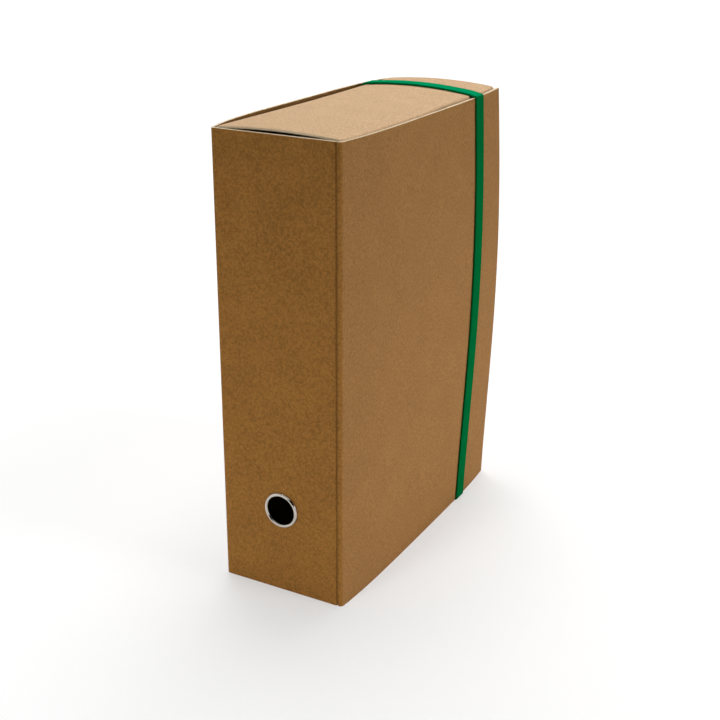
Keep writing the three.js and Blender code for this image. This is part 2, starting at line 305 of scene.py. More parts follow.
def grey(value: float) -> Colour:
    """A colour with three equal parts."""
    return (value, value, value)


@dataclass(frozen=True)
class KraftFinish:
    """Matt kraft board or card: fibre mottling and fine flecks over cloudy colour.

    The covers, which look along x, have calmer grain and a lighter, paler colour that is painted
    light and sheen. A darker line along the score, at its given x, is painted shade of its groove.
    """

    name: str
    base: Colour
    # Painted light: the covers' colour is lighter and paler than base, standing in for the brighter
    # light and sheen on them.
    cover: Colour
    contrast: float = 0.26
    cover_calm: float = 0.7
    cover_turn: tuple[float, float] = (0.7, 0.97)
    tone_range: float = 0.12
    mottle_scale: float = 640.0
    fleck_scale: float = 1700.0
    cloud_scale: float = 45.0
    fibre_roughness: float = 0.6
    mottle_share: float = 0.7
    fleck_share: float = 0.18
    cloud_share: float = 0.12
    bump: float = 0.16
    bump_depth: float = 0.2 * MM
    roughness: float = 0.9
    gloss: float = 0.15
    # Painted shade: a darker line along the score, standing in for the shade in its groove.
    groove_shade_x: float | None = None
    groove_shade_core: float = 0.35
    groove_shade_half: float = 1.1 * MM
    groove_shade_tone: float = 0.74

    def build(self) -> bpy.types.Material:
        """Makes the material.

        Returns:
            The node material, patterned on Object coordinates.
        """
        tree = Surface(self.name)
        place = tree.coordinate("Object")
        clouds = tree.noise(place, self.cloud_scale)
        mottle = tree.noise(place, self.mottle_scale, self.fibre_roughness)
        flecks = tree.noise(place, self.fleck_scale, self.fibre_roughness, FINE_OCTAVES)
        tone = tree.weighted((mottle, self.mottle_share), (flecks, self.fleck_share),
                             (clouds, self.cloud_share))
        turned = tree.turned("X")
        low, high = self.cover_turn
        calm = tree.ramp(turned, (low, WHITE), (high, grey(self.cover_calm)))
        tone = tree.math("ADD", tree.math("MULTIPLY", tree.math("SUBTRACT", tone, 0.5), calm), 0.5)
        shade = tree.ramp(tone, (0.5 - self.tone_range, grey(1.0 - self.contrast)), (0.5, WHITE),
                          (0.5 + self.tone_range, grey(1.0 + self.contrast)))
        # Painted light: faces that look along x take the lighter cover colour.
        colour = tree.multiply(tree.ramp(turned, (low, self.base), (high, self.cover)), shade)
        # Painted shade: darkens a line along the groove of the score.
        if self.groove_shade_x is not None:
            offset = tree.math("SUBTRACT", tree.part(place, "X"), self.groove_shade_x)
            near = tree.math("DIVIDE", tree.math("ABSOLUTE", offset), self.groove_shade_half)
            line = tree.ramp(near, (self.groove_shade_core, grey(self.groove_shade_tone)), (1.0, WHITE))
            colour = tree.multiply(colour, line)
        tree.link(colour, tree.shader.inputs["Base Color"])
        tree.bump(tone, self.bump, self.bump_depth)
        tree.matt(self.roughness, self.gloss)
        return tree.material


@dataclass(frozen=True)
class CutEdgeFinish:
    """Sawn or punched edge of the board: pale fibre layers between the two brown faces."""

    name: str = "cut_edge"
    brown: Colour = (0.34, 0.22, 0.11)
    pale: Colour = (0.62, 0.5, 0.34)
    palest: Colour = (0.72, 0.61, 0.45)
    tones: tuple[float, float, float] = (0.3, 0.46, 0.7)
    layer_scale: float = 1500.0
    layer_roughness: float = 0.8
    patch_scale: float = 60.0
    layer_share: float = 0.6
    bump: float = 0.35
    bump_depth: float = 0.2 * MM
    roughness: float = 0.92
    gloss: float = 0.2

    def build(self) -> bpy.types.Material:
        """Makes the material.

        Returns:
            The node material, patterned on Object coordinates.
        """
        tree = Surface(self.name)
        place = tree.coordinate("Object")
        fibres = tree.noise(place, self.layer_scale, self.layer_roughness)
        patches = tree.noise(place, self.patch_scale)
        mixed = tree.weighted((fibres, self.layer_share), (patches, 1.0 - self.layer_share))
        colour = tree.ramp(mixed, *zip(self.tones, (self.brown, self.pale, self.palest)))
        tree.link(colour, tree.shader.inputs["Base Color"])
        tree.bump(fibres, self.bump, self.bump_depth)
        tree.matt(self.roughness, self.gloss)
        return tree.material


@dataclass(frozen=True)
class ElasticFinish:
    """Flat woven elastic: lengthwise rubber ribs bound by slanting cross threads.

    It is deeper green between the ribs; where it looks up, on the head, it is painted paler as
    painted light from above.
    """

    name: str = "green_elastic"
    base: Colour = (0.0, 0.155, 0.04)
    deep: Colour = (0.0, 0.075, 0.016)
    tones: tuple[float, float] = (0.05, 0.75)
    # Painted light: faces that look up are painted paler, for the light from above.
    painted_top_light: Colour = (1.0, 1.9, 3.0)
    painted_top_light_turn: tuple[float, float] = (0.5, 0.95)
    rib_pitch: float = 0.9 * MM
    thread_pitch: float = 0.55 * MM
    thread_slant: float = 0.35
    thread_depth: float = 0.5
    fuzz_scale: float = 1800.0
    fuzz_share: float = 0.25
    bump: float = 0.5
    bump_depth: float = 0.25 * MM
    bump_fuzz: float = 0.3
    roughness: float = 0.72

    def build(self) -> bpy.types.Material:
        """Makes the material.

        Returns:
            The node material, patterned on the strap's own along and across attributes.
        """
        tree = Surface(self.name)
        along, across = tree.attribute("along"), tree.attribute("across")
        ribs = tree.wave(across, self.rib_pitch)
        slant = tree.math("MULTIPLY", across, self.thread_slant)
        threads = tree.wave(tree.math("ADD", along, slant), self.thread_pitch)
        threads = tree.math("MULTIPLY", threads, self.thread_depth)
        bound = tree.math("ADD", threads, 1.0 - self.thread_depth)
        weave = tree.math("MULTIPLY", ribs, bound)
        fuzz = tree.noise(tree.coordinate("Object"), self.fuzz_scale, detail=FINE_OCTAVES)
        tone = tree.weighted((weave, 1.0 - self.fuzz_share), (fuzz, self.fuzz_share))
        green = tree.ramp(tone, *zip(self.tones, (self.deep, self.base)))
        # Painted light: faces that look up are made paler.
        painted_top_light_gain = tree.ramp(tree.turned("Z"), *zip(self.painted_top_light_turn, (WHITE, self.painted_top_light)))
        tree.link(tree.multiply(green, painted_top_light_gain), tree.shader.inputs["Base Color"])
        relief = tree.math("ADD", weave, tree.math("MULTIPLY", fuzz, self.bump_fuzz))
        tree.bump(relief, self.bump, self.bump_depth)
        tree.matt(self.roughness, 0.0)
        return tree.material


@dataclass(frozen=True)
class NickelFinish:
    """Bright nickel plate, a little rougher in smears."""

    name: str = "nickel"
    colour: Colour = (0.62, 0.585, 0.52)
    roughness: float = 0.09
    uneven: tuple[float, float] = (0.7, 1.5)
    smear_scale: float = 350.0
    smear_range: tuple[float, float] = (0.3, 0.7)
    bump: float = 0.05
    bump_depth: float = 0.1 * MM

    def build(self) -> bpy.types.Material:
        """Makes the material.

        Returns:
            The node material.
        """
        tree = Surface(self.name)
        smear = tree.noise(tree.coordinate("Object"), self.smear_scale)
        levels = [grey(self.roughness * share) for share in self.uneven]
        tree.link(tree.ramp(smear, *zip(self.smear_range, levels)), tree.shader.inputs["Roughness"])
        tree.bump(smear, self.bump, self.bump_depth)
        tree.shader.inputs["Base Color"].default_value = (*self.colour, 1.0)
        tree.shader.inputs["Metallic"].default_value = 1.0
        return tree.material


@dataclass
class BoxShape:
    """Sizes of the box in metres, as in the part, and the surfaces that follow from them.

    Lengths run in the drawing's own frame: x from the back cover, y from the spine, z from
    the foot.
    """

    height: float = 330 * MM
    width: float = 98 * MM
    depth: float = 247 * MM
    board: float = 2 * MM
    card: float = 1.5 * MM
    seat: float = 0.3 * MM
    board_fold: float = 2.6 * MM
    card_fold: float = 2.4 * MM
    score_from_corner: float = 4.1 * MM
    lid_bow: tuple[float, float, float, float] = (4.6 * MM, 3 * MM, 4, 5.6 * MM)
    back_bow: tuple[float, float, float, float] = (7.4 * MM, 4 * MM, 5, 3 * MM)
    bow_skew: float = 1.25
    spring: float = 5.6 * MM
    spring_reach: float = 70 * MM
    head_lift: float = 0.4 * MM
    head_arch: tuple[float, float] = (2.4 * MM, 3.2 * MM)
    head_tilt: float = 2.4 * MM
    foot_clearance: float = 2.6 * MM
    fore_edge_recess: float = 1.7 * MM
    return_depth: float = 38 * MM
    flap_width: float = 96 * MM
    flap_blend: float = 34 * MM
    flap_head_drop: float = 0.6 * MM
    layer_gap: float = 0.25 * MM
    band_width: float = 13 * MM
    band_thickness: float = 1.5 * MM
    band_y: tuple[float, float] = (192 * MM, 197.5 * MM)
    band_slant: float = 15 * MM
    nick_side_room: float = 0.5 * MM
    clip_from_edge: float = 24 * MM
    clip_width: float = 17 * MM
    clip_wall: float = 0.6 * MM
    clip_height: float = 6 * MM
    ring_height: float = 64.8 * MM
    origin: Vector = field(default_factory=Vector)

    def place(self) -> None:
        """Finds the drawing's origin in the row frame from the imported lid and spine."""
        lid_low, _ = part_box("lid")
        wrap_low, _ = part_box("back_and_spine")
        self.origin = Vector((lid_low[0] - self.score_x - self.seat / 2, wrap_low[1], wrap_low[2]))

    @property
    def score_x(self) -> float:
        """Place of the pressed score across the spine."""
        return self.width - self.score_from_corner

    @property
    def fore_edge_y(self) -> float:
        """Outer face of the tray's fore-edge wall."""
        return self.depth - self.fore_edge_recess

    @property
    def nick_height(self) -> float:
        """Height of the nick in the lid that the elastic passes under."""
        return self.seat / 3 + self.band_thickness + self.seat

    def along_cover(self, y: Length) -> Length:
        """Share of a cover's depth that lies before y."""
        return np.clip((y - self.board_fold) / (self.depth - self.board_fold), 0, 1)

    def bow(self, y: Length, z: Length, bow: tuple[float, float, float, float]) -> Length:
        """Outward bow of a cover.

        Args:
            y: depth behind the spine.
            z: height.
            bow: head bow, foot bow, power of the rim curve and fore-edge bow.

        Returns:
            How far the cover stands out there.
        """
        head, foot, power, fore_edge = bow
        along = self.along_cover(y)
        up = np.clip(z / self.height, 0, 1)
        rim = (foot + (head - foot) * up) * (1 - np.abs(2 * along - 1) ** power)
        return rim + fore_edge * np.sin(np.pi * up ** self.bow_skew) * np.sin(np.pi / 2 * along)

    def lid_x(self, y: Length, z: Length) -> Length:
        """Outer face of the lid."""
        return self.width + self.bow(y, z, self.lid_bow)

    def back_x(self, y: Length, z: Length) -> Length:
        """Outer face of the back cover."""
        return -self.bow(y, z, self.back_bow)

    def head_z(self, x: Length, y: Length) -> Length:
        """Top face of the tray's head wall, arched across and tilted in the middle.

        Args:
            x: distance from the back cover.
            y: depth behind the spine.

        Returns:
            The face's height.
        """
        low, high = self.head_arch
        across = 2 * x / self.width - 1
        arch = (low + (high - low) * y / self.depth) * (1 - across ** 2)
        tilt = self.head_tilt / 2 * across * np.sin(np.pi * y / self.depth)
        return self.height + self.head_lift + arch + tilt

    def tray_base_x(self, y: Length, z: Length) -> Length:
        """Outer face of the tray's base, which springs clear of the back cover at both ends.

        Args:
            y: depth behind the spine.
            z: height.

        Returns:
            The face's x.
        """
        edge = np.minimum(z, self.height - z)
        rim = 1 - np.abs(2 * self.along_cover(y) - 1) ** self.back_bow[2]
        away = rim * (1 - smooth(edge / self.spring_reach))
        return self.back_x(y, z) + self.board + self.seat + self.spring * away

    def flap_x(self, y: Length, z: Length) -> Length:
        """Outer face of the flap under the lid."""
        return self.lid_x(y, z) - self.board - self.seat

    def tray_lid_x(self, y: Length, z: Length) -> Length:
        """Outer face of the tray's returns, tucked in where the flap lies over them.

        Args:
            y: depth behind the spine.
            z: height.

        Returns:
            The face's x.
        """
        flap_end = self.fore_edge_y - self.flap_width
        tuck = smooth((y - flap_end + self.flap_blend) / self.flap_blend)
        return self.flap_x(y, z) - (self.card + self.layer_gap) * tuck

    def band_at(self, x: float, z: float) -> float:
        """Middle of the elastic, which slants away from the spine as it nears the back cover.

        Args:
            x: distance from the back cover.
            z: height.

        Returns:
            Its depth behind the spine.
        """
        low, high = self.band_y
        slant = self.band_slant * (1 - min(1.0, max(0.0, x / self.width)))
        return low + (high - low) * z / self.height + slant

    def clip_back_x(self, mouth: float, towards_middle: int) -> float:
        """Back face of a metal end, on the highest spot of the bowed cover under it.

        Args:
            mouth: height of the end's open mouth.
            towards_middle: 1 at the foot and -1 at the head.

        Returns:
            The face's x in the drawing's frame.
        """
        middle = self.band_at(0.0, mouth)
        y = np.array([middle - self.clip_width / 2, middle + self.clip_width / 2])
        far = mouth + towards_middle * self.clip_height
        return float(np.max([self.back_x(y, mouth), self.back_x(y, far)])) + self.board + self.seat


def smooth(value: Length) -> Length:
    """Smooth step from 0 to 1."""
    t = np.clip(value, 0, 1)
    return t * t * (3 - 2 * t)


def fold_angles(start: float, end: float, steps: int) -> np.ndarray:
    """Angles of a fold in radians, both ends included."""
    return np.radians(np.linspace(start, end, steps + 1))


def points(x: Length, y: Length, z: Length) -> np.ndarray:
    """Stacks coordinates, numbers or arrays, into points."""
    arrays = np.broadcast_arrays(*(np.asarray(value, float) for value in (x, y, z)))
    return np.stack(arrays, axis=-1)


def folded(centre: np.ndarray, second: int, radii: tuple[float, float],
           turn: tuple[float, float], steps: int) -> list[Row]:
    """Rounded fold of a sheet about a line of centres.

    Args:
        centre: points along the fold's middle line.
        second: axis that the fold turns to from x, 1 for y and 2 for z.
        radii: of the outer and the inner face.
        turn: first and last angle in degrees, from x.
        steps: faces round the fold.

    Returns:
        The fold's rows of outer and inner points, without its two ends.
    """
    rows = []
    for angle in fold_angles(*turn, steps)[1:-1]:
        arm = np.zeros(3)
        arm[0], arm[second] = math.cos(angle), math.sin(angle)
        rows.append((centre + radii[0] * arm, centre + radii[1] * arm))
    return rows


def place_object(name: str, data: bpy.types.ID) -> bpy.types.Object:
    """Puts a mesh, curve, lamp or camera into the scene.

    Args:
        name: the object's name.
        data: what it holds.

    Returns:
        The object.
    """
    piece = bpy.data.objects.new(name, data)
    bpy.context.scene.collection.objects.link(piece)
    return piece


def quad_object(name: str, corners: np.ndarray, quads: np.ndarray) -> bpy.types.Object:
    """Makes an object of four-sided faces that point outwards.

    Args:
        name: the object's name.
        corners: its points.
        quads: four point numbers for each face.

    Returns:
        The object, in the scene.
    """
    mesh = bpy.data.meshes.new(name)
    mesh.from_pydata(corners.tolist(), [], quads.tolist())
    mesh.update()
    a, b, c, d = (corners[quads[:, i]] for i in range(4))
    if np.sum(a * (np.cross(b, c) + np.cross(c, d))) < 0:
        mesh.flip_normals()
    return place_object(name, mesh)


def settled_mesh(piece: bpy.types.Object) -> bpy.types.Mesh:
    """Takes a piece's mesh as its modifiers leave it.

    Args:
        piece: the piece.

    Returns:
        A new mesh.
    """
    bpy.context.view_layer.update()
    evaluated = piece.evaluated_get(bpy.context.evaluated_depsgraph_get())
    return bpy.data.meshes.new_from_object(evaluated)


def shade_smooth(mesh: bpy.types.Mesh, sharp: float) -> None:
    """Smooths the faces, up to edges of the given angle in degrees."""
    mesh.polygons.foreach_set("use_smooth", [True] * len(mesh.polygons))
    mesh.set_sharp_from_angle(angle=math.radians(sharp))


def block(low: Vector, high: Vector) -> bpy.types.Object:
    """Makes a cutter block.

    Args:
        low: its lowest corner.
        high: its highest corner.

    Returns:
        The cutter.
    """
    ends = tuple(zip(low, high))
    corners = np.array([(x, y, z) for x in ends[0] for y in ends[1] for z in ends[2]])
    sides = [(0, 1, 3, 2), (4, 6, 7, 5), (0, 4, 5, 1), (2, 3, 7, 6), (0, 2, 6, 4), (1, 5, 7, 3)]
    return quad_object("cutter", corners, np.array(sides))


class Sheet:
    """A bent sheet of board or card: a closed mesh between its outer and its inner face."""

    sharp: float = 60.0
    rim_angle: float = 50.0
    rim_steps: int = 2

    def __init__(self, name: str, rows: list[Row], origin: Vector) -> None:
        """Builds the mesh.

        Args:
            name: the piece's name.
            rows: outer and inner points of each station, in the drawing's frame.
            origin: the drawing's origin in the row frame.
        """
        outer, inner = (np.stack(side) + np.array(origin) for side in zip(*rows))
        top = np.arange(outer.shape[0] * outer.shape[1]).reshape(outer.shape[:2])
        low = top + top.size
        sides = [
            ((top[:-1, :-1], top[1:, :-1], top[1:, 1:], top[:-1, 1:]), Facing.OUTER),
            ((low[:-1, :-1], low[:-1, 1:], low[1:, 1:], low[1:, :-1]), Facing.INNER),
            ((top[:-1, 0], low[:-1, 0], low[1:, 0], top[1:, 0]), Facing.CUT),
            ((top[:-1, -1], top[1:, -1], low[1:, -1], low[:-1, -1]), Facing.CUT),
            ((top[0, :-1], top[0, 1:], low[0, 1:], low[0, :-1]), Facing.CUT),
            ((top[-1, :-1], low[-1, :-1], low[-1, 1:], top[-1, 1:]), Facing.CUT),
        ]
        quads = [np.stack([corner.ravel() for corner in side], axis=1) for side, _ in sides]
        slots = [facing.value for strip, (_, facing) in zip(quads, sides) for _ in strip]
        corners = np.concatenate([outer.reshape(-1, 3), inner.reshape(-1, 3)])
        self.piece = quad_object(name, corners, np.concatenate(quads))
        self.piece.data.polygons.foreach_set("material_index", slots)

    def cut(self, *cutters: bpy.types.Object) -> None:
        """Cuts holes, and removes the cutters.

        Args:
            cutters: the shapes of the holes.
        """
        for cutter in cutters:
            modifier = self.piece.modifiers.new("cut", "BOOLEAN")
            modifier.object = cutter
            modifier.operation = "DIFFERENCE"
            modifier.solver = "EXACT"
        self.apply()
        for cutter in cutters:
            bpy.data.objects.remove(cutter, do_unlink=True)

    def finish(self, materials: list[bpy.types.Material], edge: float) -> bpy.types.Object:
        """Rounds the rims, smooths the faces and assigns the finishes.

        Args:
            materials: outer face, cut edge and inner face.
            edge: width of the rounded rim.

        Returns:
            The finished piece.
        """
        for material in materials:
            self.piece.data.materials.append(material)
        bevel = self.piece.modifiers.new("rim", "BEVEL")
        bevel.width = edge
        bevel.segments = self.rim_steps
        bevel.limit_method = "ANGLE"
        bevel.angle_limit = math.radians(self.rim_angle)
        self.apply()
        shade_smooth(self.piece.data, self.sharp)
        return self.piece

    def apply(self) -> None:
        """Applies the modifiers to the mesh."""
        mesh = settled_mesh(self.piece)
        self.piece.modifiers.clear()
        self.piece.data = mesh


@dataclass
class Wrap:
    """The board that makes back cover, spine and lid, with the crease that joins them."""

    shape: BoxShape
    face: bpy.types.Material
    score: bpy.types.Material
    inside: bpy.types.Material
    cut_edge: bpy.types.Material
    cover_rows: int = 72
    spine_rows: int = 24
    crease_rows: int = 24
    up: int = 96
    fold_steps: int = 12
    rim: float = 0.35 * MM
    ring_hole: float = 11.6 * MM
    hole_facets: int = 96
    hole_reach: float = 12 * MM
    nick_reach: float = 6 * MM
    groove_depth: float = 0.8 * MM
    groove_half: float = 0.9 * MM
    crease_half: float = 2.2 * MM
    crease_thickness: float = 0.25 * MM
    crease_edge: float = 0.02 * MM
    crease_rim: float = 0.05 * MM
    crease_dip: float = 0.9
    crease_valley: float = 0.6
    crease_power: int = 4

    @property
    def levels(self) -> np.ndarray:
        """Heights of the rows of faces."""
        return np.linspace(0, self.shape.height, self.up + 1)

    def cover(self, outer: np.ndarray, thickness: float) -> list[Row]:
        """A bowed cover from the fold to the fore edge.

        Args:
            outer: x of its outer face, a row for each depth.
            thickness: from the outer face to the inner one, along x.

        Returns:
            The cover's rows.
        """
        return [(points(x, y, self.levels), points(x + thickness, y, self.levels))
                for y, x in zip(self.depths, outer)]

    @property
    def depths(self) -> np.ndarray:
        """Depths of a cover's rows behind the spine."""
        return np.linspace(self.shape.board_fold, self.shape.depth, self.cover_rows + 1)

    def fold(self, centre_x: float, turn: tuple[float, float]) -> list[Row]:
        """The rounded fold between the spine and a cover.

        Args:
            centre_x: x of the fold's middle line.
            turn: first and last angle in degrees.

        Returns:
            The fold's rows.
        """
        radius = self.shape.board_fold
        centre = points(centre_x, radius, self.levels)
        return folded(centre, 1, (radius, radius - self.shape.board), turn, self.fold_steps)

    def flat(self, stations: list[tuple[float, float]]) -> list[Row]:
        """A part of the spine, from the x and y of its outer face at each station."""
        return [(points(x, y, self.levels), points(x, self.shape.board, self.levels))
                for x, y in stations]

    def back_and_spine(self) -> bpy.types.Object:
        """Builds the back cover, the rounded fold and the spine with its hole.

        Returns:
            The finished piece.
        """
        s = self.shape
        end = s.score_x - s.seat / 2
        across = np.linspace(s.board_fold, end - self.groove_half, self.spine_rows)
        rows = [
            *self.cover(s.back_x(self.depths[:, None], self.levels), s.board)[::-1],
            *self.fold(s.board_fold, (180, 270)),
            *self.flat([*((x, 0.0) for x in across), (end, self.groove_depth)]),
        ]
        sheet = Sheet("back_and_spine_board", rows, s.origin)
        sheet.cut(self.hole())
        piece = sheet.finish([self.face, self.cut_edge, self.inside], self.rim)
        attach(piece, "box")
        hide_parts("back_and_spine")
        return piece

    def hole(self) -> bpy.types.Object:
        """Makes the cutter for the finger hole.

        Returns:
            The cutter.
        """
        s = self.shape
        bpy.ops.mesh.primitive_cylinder_add(
            vertices=self.hole_facets, radius=self.ring_hole, depth=self.hole_reach)
        cutter = bpy.context.object
        centre = s.origin + Vector((s.width / 2, 0, s.ring_height))
        cutter.data.transform(Matrix.Translation(centre) @ Matrix.Rotation(math.pi / 2, 4, "X"))
        return cutter

    def nick(self) -> bpy.types.Object:
        """Makes the cutter for the nick that the elastic presses into the lid's lower edge.

        Returns:
            The cutter.
        """
        s = self.shape
        x, y = float(s.lid_x(s.band_y[0], 0.0)), s.band_y[0]
        half = s.band_width / 2 + s.nick_side_room
        low = Vector((x - self.nick_reach, y - half, -s.board))
        high = Vector((x + self.nick_reach, y + half, s.nick_height))
        return block(s.origin + low, s.origin + high)

    def lid(self) -> bpy.types.Object:
        """Builds the strip beyond the score, the rounded fold and the bowed lid.

        Returns:
            The finished piece.
        """
        s = self.shape
        start = s.score_x + s.seat / 2
        centre = s.width - s.board_fold
        rows = [
            *self.flat([(start, self.groove_depth), (start + self.groove_half, 0.0),
                        (centre, 0.0)]),
            *self.fold(centre, (270, 360)),
            *self.cover(s.lid_x(self.depths[:, None], self.levels), -s.board),
        ]
        sheet = Sheet("lid_board", rows, s.origin)
        sheet.cut(self.nick())
        piece = sheet.finish([self.face, self.cut_edge, self.inside], self.rim)
        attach(piece, "lid")
        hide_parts("lid")
        return piece

    def crease(self) -> bpy.types.Object:
        """Builds the skin of the pressed score.

        Returns:
            The finished piece.
        """
        s = self.shape
        z = np.linspace(self.rim, s.height - self.rim, self.up // 2)
        deepest = self.groove_depth * self.crease_dip
        valley = self.groove_half * self.crease_valley
        rows = []
        for offset in np.linspace(-self.crease_half, self.crease_half, self.crease_rows + 1):
            x = s.score_x + offset
            y = deepest * math.exp(-(offset / valley) ** 2) - self.crease_edge
            inward = 1 - (offset / self.crease_half) ** self.crease_power
            skin = self.crease_thickness * inward + self.crease_edge
            rows.append((points(x, y, z), points(x, y + skin, z)))
        sheet = Sheet("lid_crease", rows, s.origin)
        piece = sheet.finish([self.score, self.cut_edge, self.score], self.crease_rim)
        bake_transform(piece)
        return piece


@dataclass
class Tray:
    """The folded card tray: walls, base and returns, a fore-edge wall with its flap, a tab."""

    shape: BoxShape
    face: bpy.types.Material
    cut_edge: bpy.types.Material
    along: int = 60
    up: int = 80
    across: int = 32
    return_rows: int = 10
    tab_rows: int = 8
    fold_steps: int = 8
    rim: float = 0.25 * MM
    spring_power: int = 8
    tab_room: float = 3 * MM
    washer_radius: float = 15 * MM
    tab_taper: float = 7 * MM
    window_room: float = 1.2 * MM
    window_reach: float = 16 * MM

    def dress(self, sheet: Sheet) -> bpy.types.Object:
        """Finishes a sheet of the tray and puts it on the box.

        Args:
            sheet: the bent card.

        Returns:
            The finished piece.
        """
        piece = sheet.finish([self.face, self.cut_edge, self.face], self.rim)
        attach(piece, "box")
        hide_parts("inner_tray")
        return piece

    def fold(self, centre: np.ndarray, second: int, turn: tuple[float, float]) -> list[Row]:
        """A fold of the card about a line of centres, from x towards the second axis."""
        radii = self.shape.card_fold, self.shape.card_fold - self.shape.card
        return folded(centre, second, radii, turn, self.fold_steps)

    def returned(self, corner: np.ndarray, drop: float) -> Row:
        """One row of a return, which eases from its fold to the lid's curve.

        Args:
            corner: centres of the fold beside it.
            drop: how far the row lies below them.

        Returns:
            The row's outer and inner points.
        """
        s = self.shape
        x, y, z = corner.T
        z = z - drop
        eased = smooth(abs(drop) / s.card_fold)
        curve = s.tray_lid_x(y, np.minimum(z, s.height))
        x = (x + s.card_fold) * (1 - eased) + curve * eased
        return points(x, y, z), points(x - s.card, y, z)

    def base(self, corner: np.ndarray, foot: float, share: float) -> Row:
        """One row of the base, which runs into the head's fold over the last stretch.

        Args:
            corner: centres of the fold at the head.
            foot: height of the fold at the foot.
            share: the row's place from foot to head, 0 to 1.

        Returns:
            The row's outer and inner points.
        """
        s = self.shape
        x, y, z = corner.T
        z = foot + (z - foot) * share
        near = smooth((z - s.height + s.spring_reach) / s.spring_reach) ** self.spring_power
        near = np.where(z > s.height, 1.0, near)
        x = s.tray_base_x(y, z) * (1 - near) + (x - s.card_fold) * near
        return points(x, y, z), points(x + s.card, y, z)

    def shell(self) -> bpy.types.Object:
        """Builds returns, arched head wall, base and foot wall, bent from one strip.

        Returns:
            The finished piece.
        """
        s = self.shape
        y = np.linspace(s.board + s.seat + s.card / 2, s.fore_edge_y - s.card / 2, self.along)
        foot = s.foot_clearance + s.card_fold
        base_x, lid_x = (s.tray_base_x(y, s.height) + s.card_fold,
                         s.tray_lid_x(y, s.height) - s.card_fold)
        head_left = points(base_x, y, s.head_z(base_x, y) - s.card_fold)
        head_right = points(lid_x, y, s.head_z(lid_x, y) - s.card_fold)
        foot_left = points(s.tray_base_x(y, foot) + s.card_fold, y, foot)
        foot_right = points(s.tray_lid_x(y, foot) - s.card_fold, y, foot)
        head, floor = [], []
        for share in np.linspace(1, 0, self.across):
            x = base_x * (1 - share) + lid_x * share
            z = s.head_z(x, y)
            head.append((points(x, y, z), points(x, y, z - s.card)))
        for share in np.linspace(0, 1, self.across // 2):
            x = foot_left[:, 0] * (1 - share) + foot_right[:, 0] * share
            z = s.foot_clearance
            floor.append((points(x, y, z), points(x, y, z + s.card)))
        reach = np.linspace(s.return_depth - s.card_fold, 0, self.return_rows)
        rows = [
            *(self.returned(head_right, drop) for drop in reach),
            *self.fold(head_right, 2, (0, 90)),
            *head,
            *self.fold(head_left, 2, (90, 180)),
            *(self.base(head_left, foot, share) for share in np.linspace(1, 0, self.up)),
            *self.fold(foot_left, 2, (180, 270)),
            *floor,
            *self.fold(foot_right, 2, (270, 360)),
            *(self.returned(foot_right, -rise) for rise in reach[::-1]),
        ]
        sheet = Sheet("tray_walls_and_base", rows, s.origin)
        sheet.cut(self.window(s.clip_from_edge, 1), self.window(s.height - s.clip_from_edge, -1))
        return self.dress(sheet)

    def window(self, mouth: float, towards_middle: int) -> bpy.types.Object:
        """Cutter for the opening round a metal end of the elastic.

        Args:
            mouth: height of the end's open mouth.
            towards_middle: 1 at the foot and -1 at the head.

        Returns:
            The cutter.
        """
        s = self.shape
        middle = s.band_at(0.0, mouth)
        half = s.clip_width / 2 + self.window_room
        x = s.clip_back_x(mouth, towards_middle)
        near = mouth - towards_middle * self.window_room
        far = mouth + towards_middle * (s.clip_height + self.window_room)
        low = Vector((x, middle - half, min(near, far)))
        high = Vector((x + self.window_reach, middle + half, max(near, far)))
        return block(s.origin + low, s.origin + high)

    def fore_edge(self) -> bpy.types.Object:
        """Builds the fore-edge wall with the wide flap that lies under the lid.

        Returns:
            The finished piece.
        """
        s = self.shape
        edge = s.fore_edge_y
        low = s.foot_clearance + s.card / 2
        up = np.linspace(0, 1, self.up)
        straight = low + (s.height - low) * up
        left = s.tray_base_x(edge, straight) + s.card / 2
        right = s.flap_x(edge, straight) - s.card_fold
        rows = []
        for share in np.linspace(0, 1, self.across):
            x = left * (1 - share) + right * share
            z = low + (s.head_z(x, edge) - s.card / 2 - low) * up
            rows.append((points(x, edge, z), points(x, edge - s.card, z)))
        z = low + (s.height - s.flap_head_drop - low) * up
        centre = points(s.flap_x(edge, z) - s.card_fold, edge - s.card_fold, z)
        rows.extend(self.fold(centre, 1, (90, 0)))
        for y in np.linspace(edge - s.card_fold, edge - s.flap_width, self.across):
            x = s.flap_x(y, z)
            rows.append((points(x, y, z), points(x - s.card, y, z)))
        return self.dress(Sheet("tray_fore_edge_flap", rows, s.origin))

    def tab(self) -> bpy.types.Object:
        """Builds the tab that is glued behind the spine.

        Returns:
            The finished piece.
        """
        s = self.shape
        y = s.board + s.seat
        end = s.width / 2 - self.washer_radius - self.tab_room
        up = np.linspace(0, 1, self.up)
        rows = []
        for share in np.linspace(0, 1, self.tab_rows):
            low = s.foot_clearance + 2 * s.card_fold + self.tab_taper * share
            high = s.height - 2 * s.card_fold - self.tab_taper * share
            z = low + (high - low) * up
            start = s.tray_base_x(y, z) + s.card / 2
            x = start + (end - start) * share
            rows.append((points(x, y, z), points(x, y + s.card, z)))
        return self.dress(Sheet("tray_spine_tab", rows, s.origin))


